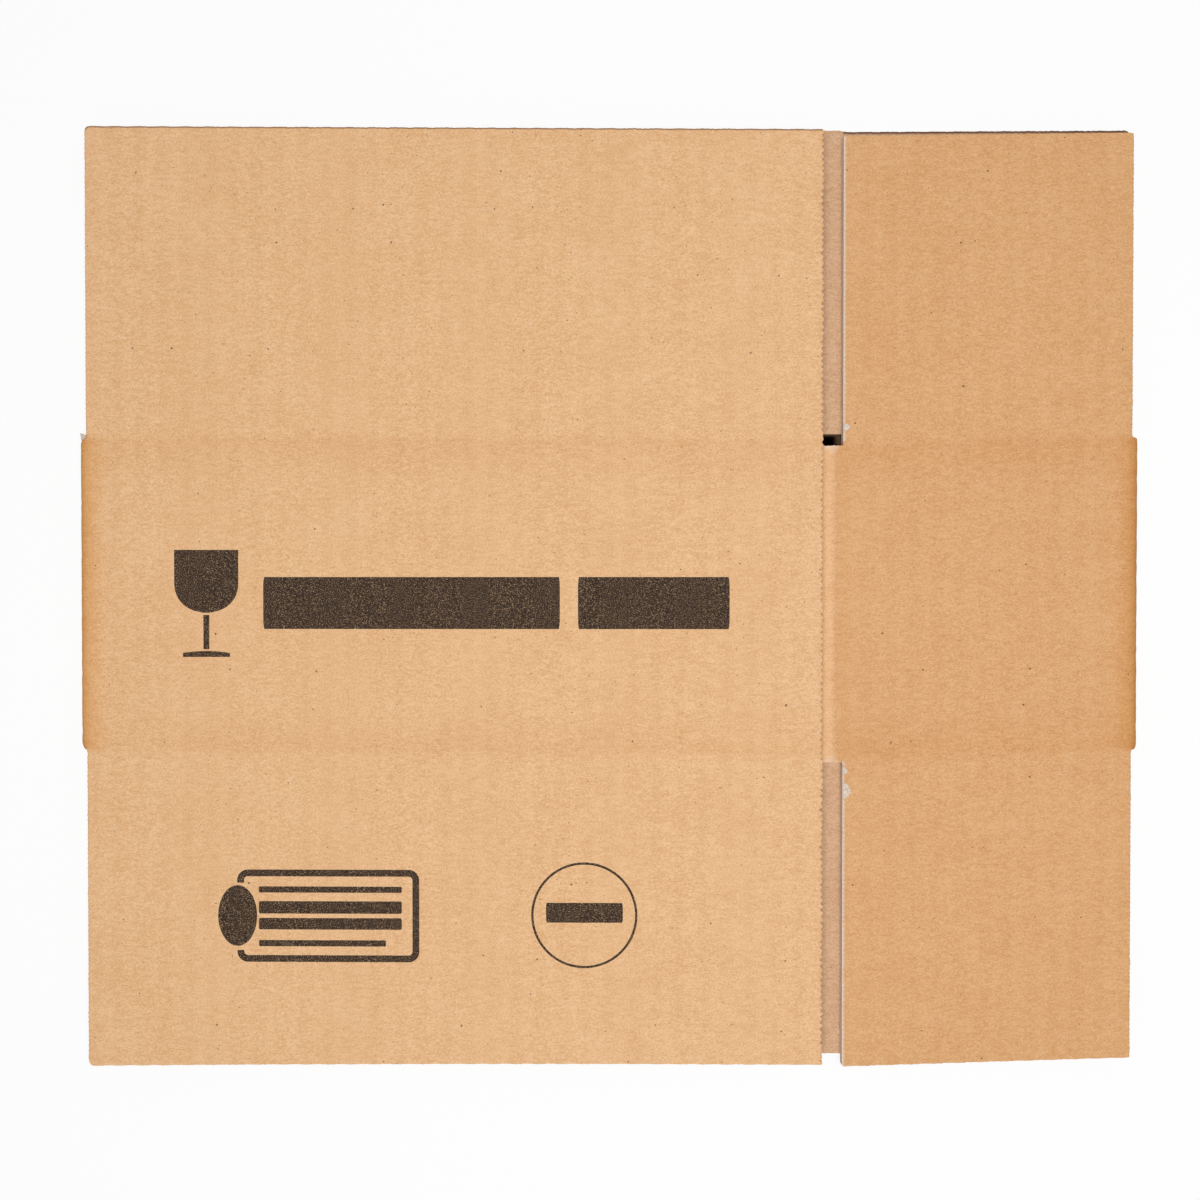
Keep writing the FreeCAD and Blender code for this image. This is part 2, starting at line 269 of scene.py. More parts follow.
def board_points(wall, x, y, share, sizes, near=0.0):
    """Points of a board at a share of its thickness, 0 on the outer face and 1 on the inner one.
    The face is the wall's plane, plus a sag between flutes (half of one less the cosine of x over
    the pitch), a slow ripple of the whole board, a bell-shaped dent along each crease, and the
    fold's rounding where a flap starts beside it. The inner face has its own sag and dents. Near
    runs up to 1 at a cut edge, where the knife pinched both faces together."""
    x, y, share, near = np.broadcast_arrays(x, y, share, near)
    beyond = np.abs(y - wall.middle_at(x)) - wall.half
    dent = sizes.crease_dent * np.exp(-(beyond / (0.5 * sizes.crease_reach)) ** 2)
    if wall.face < 0:
        dent = dent + sizes.crease_dent * np.exp(-((x + CREASE_X) / (0.5 * sizes.crease_reach)) ** 2)
    calm = smooth_step((APEX - sizes.fold_reach - np.abs(x)) / (8 * MM))
    sag = calm * sizes.washboard * (1 - flute_phase(x, sizes)) / 2
    inner_sag = calm * sizes.washboard * (1 + flute_phase(x, sizes)) / 2
    slow = calm * 0.03 * MM * (2 + ripple(x, 90 * MM, 3) + ripple(y, 200 * MM, 5))
    rounding = fold_drop(x, wall, sizes) * (1 - smooth_step((beyond + sizes.crease_reach) / (6 * MM)))
    outer = sag + dent + rounding + slow + 0.2 * MM * near ** 2
    inner = BOARD - inner_sag - dent + slow - 0.35 * MM * near ** 2 - sizes.pit * pit_share(wall, x, y)
    depth = outer + (inner - outer) * share
    tilt = np.sqrt(1 + wall.slope ** 2)
    return np.stack((
        x + wall.face * wall.slope * depth / tilt,
        y,
        wall.height + wall.slope * x - wall.face * depth / tilt,
    ), -1)


def layer_shares(x, sizes, near=0.0):
    """Thickness shares at which each layer of the board starts and ends. The medium's middle swings
    between the liners as the cosine of x over the pitch, and is as thick across as it is along.
    Near a cut edge it is crushed, and fills the board from liner to liner."""
    liner = sizes.liner / BOARD
    half = sizes.medium / 2 / BOARD
    swing = 0.5 - liner - half
    steepness = TURN * swing * BOARD / sizes.flute_pitch * np.sin(TURN * x / sizes.flute_pitch)
    middle = 0.5 - swing * flute_phase(x, sizes)
    across = half * np.sqrt(1 + steepness ** 2)
    low = np.maximum(middle - across, liner)
    high = np.minimum(middle + across, 1 - liner)
    low = low + (liner - low) * near
    high = high + (1 - liner - high) * near
    return {"outer": (0.0, liner), "medium": (low, high), "inner": (1 - liner, 1.0)}


LAYER_SLOTS = {"outer": 0, "medium": 1, "inner": 2}


def slab(front, back, material=0, **facts):
    """Closed sheet between two grids of points: both grids as faces, and a rim that joins them. The
    faces are turned round where the sheet's signed volume is negative, so they all look outwards.
    Facts are numbers or grids that become attributes of the points."""
    rows, columns = front.shape[:2]
    count = rows * columns
    index = np.arange(count).reshape(rows, columns)
    quads = np.stack((index[:-1, :-1], index[1:, :-1], index[1:, 1:], index[:-1, 1:]), -1).reshape(-1, 4)
    rim = np.concatenate((index[:, 0], index[-1, 1:], index[-2::-1, -1], index[0, -2:0:-1]))
    after = np.roll(rim, -1)
    side = np.stack((after, rim, rim + count, after + count), -1)
    faces = np.concatenate((quads, quads[:, ::-1] + count, side))
    points = np.concatenate((front.reshape(-1, 3), back.reshape(-1, 3)))
    corners = points[faces]
    halves = ((0, 1, 2), (0, 2, 3))
    volume = sum(
        np.einsum("ij,ij->", corners[:, a], np.cross(corners[:, b], corners[:, c])) for a, b, c in halves
    )
    if volume < 0:
        faces = faces[:, ::-1]
    spread = {
        name: np.tile(np.broadcast_to(fact, (rows, columns)).ravel(), 2) for name, fact in facts.items()
    }
    return {"points": points, "faces": faces, "material": material, "facts": spread}


def new_piece(name, slabs, materials):
    """One object at the origin from closed slabs, shaded smooth with its hard edges kept sharp."""
    mesh = bpy.data.meshes.new(name)
    points = np.concatenate([part["points"] for part in slabs])
    starts = np.cumsum([0] + [len(part["points"]) for part in slabs[:-1]])
    faces = np.concatenate([part["faces"] + start for part, start in zip(slabs, starts)])
    slots = np.concatenate([np.full(len(part["faces"]), part["material"]) for part in slabs])
    mesh.vertices.add(len(points))
    mesh.vertices.foreach_set("co", points.astype(np.float32).ravel())
    mesh.loops.add(faces.size)
    mesh.loops.foreach_set("vertex_index", faces.astype(np.int32).ravel())
    mesh.polygons.add(len(faces))
    mesh.polygons.foreach_set("loop_start", np.arange(0, faces.size, 4, dtype=np.int32))
    mesh.polygons.foreach_set("material_index", slots.astype(np.int32))
    mesh.update(calc_edges=True)
    for fact in sorted({key for part in slabs for key in part["facts"]}):
        blank = [np.zeros(len(part["points"])) for part in slabs]
        values = np.concatenate([part["facts"].get(fact, none) for part, none in zip(slabs, blank)])
        attribute = mesh.attributes.new(fact, "FLOAT", "POINT")
        attribute.data.foreach_set("value", values.astype(np.float32))
    mesh.shade_smooth()
    mesh.set_sharp_from_angle(angle=np.radians(32))
    for material in materials:
        mesh.materials.append(material)
    piece = bpy.data.objects.new(name, mesh)
    bpy.context.scene.collection.objects.link(piece)
    return piece


def tooth_marks(y, pitch, depth, seed):
    """How far a toothed rule's cut steps back from the edge: a cosine of y over the tooth pitch with
    rounded tips, deeper and shallower by chance, on a slow wander of the whole edge."""
    wave = (0.5 - 0.5 * np.cos(TURN * (y / pitch + 0.12 * ripple(y, 9 * pitch, seed)))) ** 1.5
    uneven = 0.75 + 0.35 * ripple(y, 4 * pitch, seed + 1)
    return depth * wave * uneven + 0.12 * depth * (1 + ripple(y, 12 * pitch, seed + 2))


def flap_end(x, inset, radius, sizes, seed):
    """How far a flap's cut end steps back: the knife bites deeper between flutes, the edge wanders,
    and the corner is a quarter circle over the inset from the side edge."""
    bite = 0.05 * MM * (1 - flute_phase(x, sizes)) + 0.06 * MM * (1 + ripple(x, 3.4 * MM, seed))
    short = np.clip(radius - inset, 0, radius)
    return bite + radius - np.sqrt(radius ** 2 - short ** 2)


def rolled(x):
    """1 at a fold's outermost line, falling off as a bell over the next few millimetres of x: where the
    fold is burnished and carries painted shade of its rounding.
    """
    return np.exp(-(np.maximum(APEX - np.abs(x), 0) / (5.5 * MM)) ** 1.5)


def crease_share(beyond):
    """1 along a line 2 mm inside a crease, falling off as a bell on either side of it: where the
    painted shade along a crease lies.
    """
    return np.exp(-((beyond + 2 * MM) / (2.4 * MM)) ** 2)


def board_facts(wall, x, y, pale, ends):
    """Attributes of a board's points: its wall's tone, how pale the cut is, how near the crease and the
    rolled fold are, which carry painted shade, how dark the painted shade along a flap's cut end is,
    and how dark the painted shade in the hollow under the slot root is."""
    beyond = np.abs(y - wall.middle_at(x)) - wall.half
    side = 1 if np.mean(y) > 0 else -1
    # Crushed is the width of the band of painted shade along the flap's end, and dark its depth.
    bare, crushed, dark = END_BANDS.get((wall.place, side), PLAIN_END)
    covered = smooth_step((x - SHORT_FRONT.left) / MM) if wall.face < 0 else 1.0
    return {
        "tone": np.full(np.shape(x), wall.tone),
        "cut": np.clip(pale + 0.4 * smooth_step(1.5 - ends / (bare * MM)), 0, 1),
        # Painted shade along the flap's cut end, on the back walls only where the short front wall lies over
        # it.
        "end": dark * covered * smooth_step(1.5 - ends / (crushed * MM)) + 0 * x,
        # Painted shade along the crease.
        "crease": crease_share(beyond),
        # Burnishing and painted shade of the fold's rounding.
        "fold": rolled(x) * (1 - smooth_step((beyond + 2 * MM) / (3 * MM))),
        # Painted shade: near black in the hollow under the slot root, a little lighter on its right part.
        "soot": pit_share(wall, x, y) * (1 - 0.2 * smooth_step((x - PIT_PAINTED_LIGHT_X) / PIT_PAINTED_LIGHT_FADE)),
    }


def board_layers(wall, x, y, sizes, near=0.0, pale=0.0, shift=None, ends=np.inf):
    """The three layers of a stretch of board as closed slabs over a grid of x and y. Near is how near
    each point is to a cut, pale is how pale the cut is, the shift moves each layer along x, and ends
    is the distance from the flap's cut end."""
    slabs = []
    x, y, near = np.broadcast_arrays(x, y, near)
    for layer, slot in LAYER_SLOTS.items():
        place = x if shift is None else x + shift[layer]
        low, high = layer_shares(place, sizes, near)[layer]
        front = board_points(wall, place, y, low, sizes, near)
        back = board_points(wall, place, y, high, sizes, near)
        slabs.append(slab(front, back, slot, **board_facts(wall, x, y, pale * near, ends)))
    return slabs


def spaced(start, end, step):
    """Evenly spaced values from start to end, no further apart than the step."""
    return np.linspace(start, end, max(2, int(np.ceil(abs(end - start) / step)) + 1))


def edge_grid(wall, edge, inward, beyond, side, sizes, cut, keep_wall):
    """Grids of x, y, nearness and layer shifts for the band along a cut edge. The cut leans: the outer
    liner stands back by the lean, and the other layers by less. It fades out where the wall goes on."""
    inset = EDGE_COLUMNS * sizes.edge_band
    x = (edge + inward * inset)[:, None]
    y = wall.middle_at(x) + side * (wall.half + beyond[None, :])
    near = np.exp(-inset / (0.7 * MM))[:, None] + 0 * y
    fade = (1 - inset / sizes.edge_band)[:, None] + 0 * y
    if keep_wall:
        going_on = smooth_step((beyond[None, :] + 0.1 * MM) / (1.2 * MM))
        near = near * going_on
        fade = fade * going_on
    shift = {}
    wear = cut["lean"] * (1 + 0.5 * ripple(y, 6 * MM, cut["seed"] + 3))
    marks = tooth_marks(y, cut["tooth"], cut["depth"], cut["seed"])
    for layer, bite, lean in zip(LAYER_SLOTS, cut["bites"], (1.0, 0.4, 0.0)):
        shift[layer] = inward * fade * (bite * marks + lean * wear)
    return x, y, near, shift


def flap_rows(step):
    """Distances from the crease: close where the board bends and at the cut end, wide between."""
    bend = spaced(*BEND_ROWS, BEND_STEP)
    body = spaced(BEND_ROWS[1], FLAP_REACH - END_REACH, step)[1:]
    return np.concatenate((bend, body, FLAP_REACH - END_ROWS))


def pull_back(wall, x, y, side, inset, radius, sizes, seed):
    """Rows near a flap's cut end, drawn back by the end's own outline over its last stretch, and the
    whole flap shortened by what the knife took off its end, in straight steps of x."""
    beyond = side * (y - wall.middle_at(x)) - wall.half
    near = smooth_step(1 - (FLAP_REACH - beyond) / END_REACH)
    trim = np.interp(x / MM, *FLAP_TRIMS.get((wall.place, side), NO_TRIM))
    shorter = trim * MM * np.clip(beyond / FLAP_REACH, 0, 1)
    return y - side * (near * flap_end(x, inset, radius, sizes, seed) + shorter)


# How deep a tooth bites into the outer liner, the medium and the inner liner.
EVEN_BITES = (1.0, 0.5, 0.3)
SKIN_BITES = (1.0, 0.2, 0.0)


def cut_rule(tooth, share, lean, pale, bites=EVEN_BITES, worn=False):
    """A kind of cut: which rule's teeth it has, the share of their full depth, how far the outer liner
    leans back, how pale its fibres are, how deep each layer is bitten, and whether its corner is worn."""
    return {"tooth": tooth, "share": share, "lean": lean * MM, "pale": pale, "bites": bites, "worn": worn}


WORN_CUT = cut_rule("short_tooth", share=0.9, lean=0.12, pale=0.2, worn=True)
OUTER_CUT = cut_rule("short_tooth", share=0.7, lean=0.12, pale=0.2)
COARSE_CUT = cut_rule("long_tooth", share=1.9, lean=0.0, pale=0.05)
TORN_CUT = cut_rule("short_tooth", share=1.0, lean=0.08, pale=0.85, bites=SKIN_BITES)

# Millimetres that the knife took off each flap's end, at places of x in millimetres.
NO_TRIM = ((0, 1), (0, 0))
FLAP_TRIMS = {
    ("front_long", 1): ((-176, 72), (0.1, 0.95)),
    ("front_long", -1): ((-176, -114, -52, 10, 72), (-2.9, -1.9, -1.15, -0.6, -0.3)),
    ("front_short", 1): ((80, 176), (0.9, 2.4)),
    ("front_short", -1): ((80, 176), (-0.3, -0.1)),
    ("back_long", 1): ((-72, 78, 80, 176), (0.1, 0.35, 0.85, 0.35)),
    ("back_short", 1): ((-176, -80), (0.1, 0.1)),
}

# Widths in millimetres of the bare band and of the darkened band along a flap's end, and how dark
# that band is. The darkened band is painted shade; on the back walls it lies only under the short front
# wall.
PLAIN_END = (0.05, 0.05, 0.0)
END_BANDS = {
    ("front_long", 1): (0.05, 0.45, 0.8),
    ("back_long", 1): (0.05, 0.75, 1.0),
}

# The cuts of each wall's flaps on their left and on their right side.
FLAP_CUTS = {
    "front_long": (WORN_CUT, COARSE_CUT),
    "front_short": (TORN_CUT, OUTER_CUT),
    "back_long": (COARSE_CUT, WORN_CUT),
    "back_short": (OUTER_CUT, TORN_CUT),
}


def cut_of(wall, end, sizes):
    """The cut of one side of a wall's flaps, with its teeth's pitch and depth in metres: end 0 is the
    left side and end 1 the right."""
    cut = dict(FLAP_CUTS[wall.place][end])
    cut["tooth"] = getattr(sizes, cut["tooth"])
    cut["depth"] = cut["share"] * sizes.tooth_depth
    cut["seed"] = 5 * wall.seed + end
    return cut


def flap_slabs(wall, side, sizes):
    """A flap and the bent board of its crease, from the wall's last millimetres to the cut end."""
    seed = 20 + 7 * wall.seed + side
    rows = flap_rows(FLAT_STEP)
    fine = flap_rows(TOOTH_STEP)
    left = wall.left + sizes.edge_band
    right = wall.right - sizes.edge_band
    x = spaced(left, right, sizes.flute_pitch / FLUTE_STEPS)[:, None]
    y = wall.middle_at(x) + side * (wall.half + rows[None, :])
    y = pull_back(wall, x, y, side, sizes.edge_band, 0.0, sizes, seed)
    slabs = board_layers(wall, x, y, sizes, ends=FLAP_REACH - rows[None, :])
    for end, (edge, inward) in enumerate(((wall.left, 1), (wall.right, -1))):
        keep_wall = not (wall is LONG_FRONT and end == 1)
        cut = cut_of(wall, end, sizes)
        x, y, near, shift = edge_grid(wall, edge, inward, fine, side, sizes, cut, keep_wall)
        radius = sizes.corner_radius if cut["worn"] else 0.3 * MM
        y = pull_back(wall, x, y, side, np.abs(x - edge), radius, sizes, seed)
        slabs += board_layers(wall, x, y, sizes, near, cut["pale"], shift, FLAP_REACH - fine[None, :])
    return slabs


def wall_slabs(wall, start, end, sizes, rows=None):
    """A stretch of wall between two x, over rows given as signed distances from its middle."""
    reach = wall.half - sizes.crease_reach
    rows = spaced(-reach, reach, FLAT_STEP) if rows is None else rows
    x = spaced(start, end, sizes.flute_pitch / FLUTE_STEPS)[:, None]
    y = wall.middle_at(x) + rows[None, :]
    return board_layers(wall, x, y, sizes)


def corner_rows(wall, sizes):
    """The rows of a wall beside its flaps' bent board, at the upper and at the lower crease."""
    rows = spaced(wall.half - sizes.crease_reach, wall.half, BEND_STEP)
    return rows, -rows[::-1]


def fold_slabs(side, rows, turns, sizes, width=1.0):
    """A stretch of flattened fold: outside, a superellipse from the front wall round to the back one;
    inside, an ellipse to the end of the collapsed slit. Turns run from 0 at the front to pi. The width
    narrows the fold beyond its flaps' edge, row by row, to round its ends."""
    front = LONG_FRONT if side < 0 else SHORT_FRONT
    start = side * (APEX - sizes.fold_reach)
    power = 2 / FOLD_POWER
    middle = float(fold_middle(side))
    across = np.sin(turns) ** power
    up = np.sign(np.cos(turns)) * np.abs(np.cos(turns)) ** power
    top = front.height + front.slope * start
    outer_z = middle + up * np.where(up > 0, top - middle, middle)
    slit = sizes.fold_reach - sizes.slit_reach
    inner_z = middle + np.cos(turns) * np.where(up > 0, top - BOARD - middle, middle - BOARD)
    outer_x = start + side * sizes.fold_reach * across
    inner_x = start + side * slit * np.sin(turns)
    turn_share = (turns / np.pi)[:, None]
    centre = front.middle_at(start) * (1 - turn_share) + LONG_BACK.middle * turn_share
    y = centre + rows[None, :]
    waves = ripple(y, 5 * MM, 60 + side) + ripple(y, 23 * MM, 61 + side)
    crushed = 0.1 * MM * np.sin(turns)[:, None] * waves
    flap_edge = front.left if side < 0 else front.right
    outer_x = flap_edge + (outer_x[:, None] - side * np.abs(crushed) - flap_edge) * width
    outer = np.stack(np.broadcast_arrays(outer_x, y, outer_z[:, None]), -1)
    inner = np.stack(np.broadcast_arrays(inner_x[:, None], y, inner_z[:, None]), -1)
    shares = layer_shares(np.broadcast_to(start + 0.4 * (outer_x - start), y.shape), sizes)
    beyond = np.abs(rows)[None, :] - front.half
    # Fold is burnishing and painted shade of the fold's rounding; crease is painted shade.
    facts = {
        "tone": front.tone + (LONG_BACK.tone - front.tone) * turn_share,
        "crease": crease_share(beyond),
        "fold": rolled(outer_x),
    }
    slabs = []
    for layer, slot in LAYER_SLOTS.items():
        low, high = (np.broadcast_to(share, y.shape)[..., None] for share in shares[layer])
        front_grid = outer + (inner - outer) * low
        back_grid = outer + (inner - outer) * high
        slabs.append(slab(front_grid, back_grid, slot, **facts))
    return slabs


def sleeve_slabs(sizes):
    """The folded strip: four walls, two folds, the short corners beside the flaps and the seam's edge."""
    fold_start = APEX - sizes.fold_reach
    seam = LONG_FRONT.right
    slabs = wall_slabs(LONG_FRONT, -fold_start, seam - sizes.edge_band, sizes)
    slabs += wall_slabs(SHORT_FRONT, TAB_JOIN, fold_start, sizes)
    slabs += wall_slabs(LONG_BACK, -fold_start, fold_start, sizes)
    reach = LONG_FRONT.half - sizes.crease_reach
    fine = spaced(-LONG_FRONT.half - reach, -LONG_FRONT.half + reach, TOOTH_STEP)
    cut = cut_of(LONG_FRONT, 1, sizes)
    x, y, near, shift = edge_grid(LONG_FRONT, seam, -1, fine, 1, sizes, cut, False)
    slabs += board_layers(LONG_FRONT, x, y, sizes, near, cut["pale"], shift)
    centre = SHORT_FRONT.middle_at(SHORT_FRONT.left)
    for root in (sizes.root_upper - centre, -sizes.root_lower - centre):
        rows = spaced(np.sign(root) * reach, root, BEND_STEP)
        slabs += wall_slabs(SHORT_FRONT, TAB_JOIN, SHORT_FRONT.left, sizes, rows)
    for rows in corner_rows(LONG_BACK, sizes):
        slabs += wall_slabs(LONG_BACK, SHORT_BACK.right, LONG_BACK.left, sizes, rows)
    for side, wall, roundness in ((-1, LONG_FRONT, 2), (1, SHORT_FRONT, 6)):
        turns = spaced(0, np.pi, FOLD_TURN)
        slabs += fold_slabs(side, spaced(-reach, reach, FOLD_STEP), turns, sizes)
        flap_edge = -wall.left if side < 0 else wall.right
        first = np.arcsin(((flap_edge - fold_start) / sizes.fold_reach) ** (FOLD_POWER / 2))
        turns = spaced(first, np.pi - first, FOLD_TURN)
        for rows in corner_rows(wall, sizes):
            inside = np.clip((wall.half - np.abs(rows)) / sizes.crease_reach, 0, 1)
            width = np.sqrt(1 - (1 - inside) ** roundness)
            slabs += fold_slabs(side, rows, turns, sizes, width[None, :])
    return slabs


def tab_slabs(sizes):
    """The crushed glue tab: from the short front wall's crease it steps down by a smooth step to lie
    against the long front wall, and its ends taper to its free edge."""
    low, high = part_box("glue_seam")
    film = high.z - low.z - LONG_FRONT.slope * (high.x - low.x)
    free = CREASE_X - TAB_WIDTH
    x = spaced(free, TAB_JOIN, FINE_STEP)[:, None]
    under = LONG_FRONT.height + LONG_FRONT.slope * x - BOARD - film
    beside = SHORT_FRONT.height + SHORT_FRONT.slope * x
    step = smooth_step((x - CREASE_X + 1.4 * MM) / (2.6 * MM))
    top = under + (beside - under) * step
    bottom = under - TAB_BOARD + (beside - BOARD - under + TAB_BOARD) * step
    share = np.linspace(0, 1, 30)[None, :]
    drawn = TAB_TAPER * np.clip((LONG_FRONT.right - x) / (LONG_FRONT.right - free), 0, 1)
    frayed = 0.12 * MM * ripple(x, 1.6 * MM, 70)
    upper = sizes.root_upper - drawn + frayed
    lower = -sizes.root_lower + drawn + frayed
    y = lower + (upper - lower) * share
    near_end = np.exp(-np.minimum(y - lower, upper - y) / (0.5 * MM))
    # A pale band beside the crease: partly rubbed fibres, partly painted light on the tab's step, which
    # faces the lamp.
    rubbed_and_painted_light = np.exp(-((x - CREASE_X + 0.7 * MM) / (0.8 * MM)) ** 2)
    pale = np.maximum(0.6 * near_end, 0.3 * rubbed_and_painted_light)
    # Left of the crease the tab takes the long front wall's paler tone: painted light.
    tone = smooth_step((x - CREASE_X + 0.4 * MM) / (1.2 * MM))
    slabs = []
    for layer, slot in LAYER_SLOTS.items():
        shares = layer_shares(np.broadcast_to(x, y.shape), sizes)[layer]
        grids = []
        for share in shares:
            z = top + (bottom - top) * share
            grids.append(np.stack(np.broadcast_arrays(x, y, z), -1))
        slabs.append(slab(*grids, slot, tone=tone, cut=pale))
    return slabs


def ink_film(x, y, sizes):
    """A printed shape as a thin closed film that follows the long front wall's own surface."""
    above = -sizes.film / BOARD
    below = 0.5 * sizes.film / BOARD
    top = board_points(LONG_FRONT, x, y, above, sizes)
    bottom = board_points(LONG_FRONT, x, y, below, sizes)
    return slab(top, bottom)


def ink_bar(left, right, low, high, sizes):
    """A filled rectangle with softly rounded ends: rows of x squeezed near the upper and lower sides."""
    rows = np.linspace(0, 1, 15)[None, :]
    columns = spaced(left * MM, right * MM, FINE_STEP)[:, None]
    edge = 0.35 * MM * (np.abs(2 * rows - 1) ** 8)
    centre = (left + right) / 2 * MM
    x = centre + (columns - centre) * (1 - edge / (columns[-1] - centre))
    y = (low + (high - low) * rows) * MM
    return ink_film(x, y + 0 * x, sizes)


def ink_ring(centre_x, centre_y, radius, stroke, sizes):
    """A circle of even stroke: its radius plus and minus half the stroke over a full turn."""
    turn = np.linspace(0, TURN, 361)[:, None]
    reach = radius + np.linspace(-0.5, 0.5, 4)[None, :] * stroke
    return ink_film((centre_x + reach * np.cos(turn)) * MM, (centre_y + reach * np.sin(turn)) * MM, sizes)


def ink_oval(centre_x, centre_y, radius_x, radius_y, sizes):
    """A filled oval: rows of x stretched by a quarter circle's rule over the height."""
    up = np.sin(np.linspace(-0.5, 0.5, 41) * np.pi)[None, :]
    across = np.linspace(-1, 1, 29)[:, None] * np.maximum(np.sqrt(1 - up ** 2), 0.02)
    return ink_film((centre_x + radius_x * across) * MM, (centre_y + radius_y * up + 0 * across) * MM, sizes)


def ink_frame(left, right, low, high, radius, stroke, gap_low, gap_high, sizes):
    """A rounded rectangle's line, open on its left between two heights: a centre that walks round the
    corners' middles while the direction turns at each of them, and the radius along that direction."""
    inner_left, inner_right = left + radius, right - radius
    inner_low, inner_high = low + radius, high - radius
    centre_x = np.array((inner_left,) * 3 + (inner_right,) * 4 + (inner_left,) * 3)
    centre_y = np.array((gap_high,) + (inner_high,) * 4 + (inner_low,) * 4 + (gap_low,))
    facing = np.radians((180, 180, 90, 90, 0, 0, -90, -90, -180, -180))
    walked = np.hypot(np.diff(centre_x), np.diff(centre_y)) + radius * np.abs(np.diff(facing))
    marks = np.concatenate(((0,), np.cumsum(walked)))
    along = np.linspace(0, marks[-1], 420)[:, None]
    turn = np.interp(along, marks, facing)
    reach = radius - np.linspace(0, 1, 5)[None, :] * stroke
    x = np.interp(along, marks, centre_x) + reach * np.cos(turn)
    y = np.interp(along, marks, centre_y) + reach * np.sin(turn)
    return ink_film(x * MM, y * MM, sizes)


def goblet_films(sizes):
    """The goblet sign: bowl, stem and foot, each a stack of rows whose half width is a formula of
    height. The bowl's is straight above and nearly a quarter ellipse below; the foot is a low arch."""
    centre = -135.85
    bowl_half, bowl_low, bowl_height = 10.85, -5.15, 21.2
    stem_half, stem_low, stem_height = 1.0, -17.45, 11.6
    foot_half, foot_low, foot_height, foot_arch = 7.95, -20.05, 1.35, 0.65
    rise = np.linspace(0, 1, 30)[:, None]
    wide = np.linspace(-1, 1, 35)[None, :]
    half = bowl_half * np.sqrt(1 - np.clip(1 - rise / 0.5, 0, 1) ** 2.4)
    bowl_x = (centre + wide * np.maximum(half, 1.2)) * MM
    bowl_y = (bowl_low + bowl_height * rise) * MM + 0 * bowl_x
    stem_x = (centre + stem_half * np.linspace(-1, 1, 4)[None, :]) * MM + 0 * rise
    stem_y = (stem_low + stem_height * rise) * MM + 0 * stem_x
    foot_x = (centre + foot_half * wide) * MM + 0 * rise
    foot_y = (foot_low + rise * (foot_height + foot_arch * (1 - wide ** 2))) * MM
    outlines = ((bowl_x, bowl_y), (stem_x, stem_y), (foot_x, foot_y))
    return [ink_film(x, y, sizes) for x, y in outlines]


# The print's plain shapes, in millimetres across and up from the middle of the case.
WALL_BARS = (
    {"left": -116.6, "right": -16.6, "low": -10.6, "high": 6.9},
    {"left": -10.5, "right": 40.4, "low": -10.6, "high": 6.9},
)
PRINTED_FRAME = {
    "left": -125.7, "right": -64.1, "low": -123.2, "high": -91.9,
    "radius": 3.6, "stroke": 2.3, "gap_low": -119.2, "gap_high": -96.4,
}
PRINTED_OVAL = {"centre_x": -125.6, "centre_y": -107.5, "radius_x": 6.6, "radius_y": 10.3}
PRINTED_RING = {"centre_x": -8.4, "centre_y": -107.1, "radius": 17.5, "stroke": 0.8}
FLAP_BARS = (
    {"left": -21.3, "right": 4.6, "low": -109.6, "high": -102.9},
    {"left": -118.4, "right": -70.0, "low": -99.7, "high": -97.6},
    {"left": -118.4, "right": -70.0, "low": -106.8, "high": -102.6},
    {"left": -118.4, "right": -70.0, "low": -112.2, "high": -108.3},
    {"left": -118.4, "right": -75.4, "low": -117.9, "high": -115.8},
)

# The torn tufts of fibre, by name and the body that each rides on, in millimetres.
TUFTS = {
    ("tuft_upper_slot", "front_short_upper"): {
        "wall": SHORT_FRONT, "edge": 79.0, "middle": 57.3,
        "width": 2.0, "height": 2.6, "power": 3.0, "seed": 31,
    },
    ("tuft_lower_root", "front_short_lower"): {
        "wall": SHORT_FRONT, "edge": 79.2, "middle": -58.5,
        "width": 1.5, "height": 3.0, "power": 1.1, "seed": 34,
    },
    ("tuft_lower_slot", "front_short_lower"): {
        "wall": SHORT_FRONT, "edge": 79.1, "middle": -65.3,
        "width": 2.4, "height": 6.0, "power": 2.0, "seed": 37,
    },
    ("tuft_fold", "sleeve"): {
        "wall": LONG_FRONT, "edge": -178.6, "middle": 54.2,
        "width": 2.6, "height": 2.2, "power": 2.0, "seed": 41,
    },
}


def torn_flake(wall, edge, middle, width, height, power, seed, sizes):
    """A torn tuft of fibres on a cut edge. Its width runs along the edge as one less a power of the
    distance from its middle, with a ragged rim, and it curls up as the cube of the way to that rim."""
    along = np.linspace(-1, 1, 41)[None, :]
    out = np.linspace(0, 1, 14)[:, None]
    reach = width * (1 - np.abs(along) ** power) * (1 + 0.15 * ripple(along, 0.35, seed))
    x = (edge + out * reach) * MM
    y = (middle + height / 2 * along) * MM + 0.15 * MM * ripple(out, 0.8, seed + 1)
    lift = (0.04 + 0.4 * out ** 3 * (0.7 + 0.4 * ripple(along, 0.9, seed + 2))) * MM
    top = board_points(wall, x, y, -(lift + 0.07 * MM) / BOARD, sizes)
    bottom = board_points(wall, x, y, -lift / BOARD + 0.02, sizes)
    return slab(top, bottom)


def node(tree, kind, inputs=(), **settings):
    """Adds a node, applies its settings, links or sets its inputs, given by name or in their order,
    and returns its outputs."""
    made = tree.nodes.new(kind)
    for name, value in settings.items():
        setattr(made, name, value)
    for key, value in inputs.items() if isinstance(inputs, dict) else enumerate(inputs):
        if isinstance(value, bpy.types.NodeSocket):
            tree.links.new(value, made.inputs[key])
        else:
            made.inputs[key].default_value = value
    return made.outputs


def empty_tree(owner):
    """The cleared node tree of a material or a world."""
    owner.use_nodes = True
    owner.node_tree.nodes.clear()
    return owner.node_tree


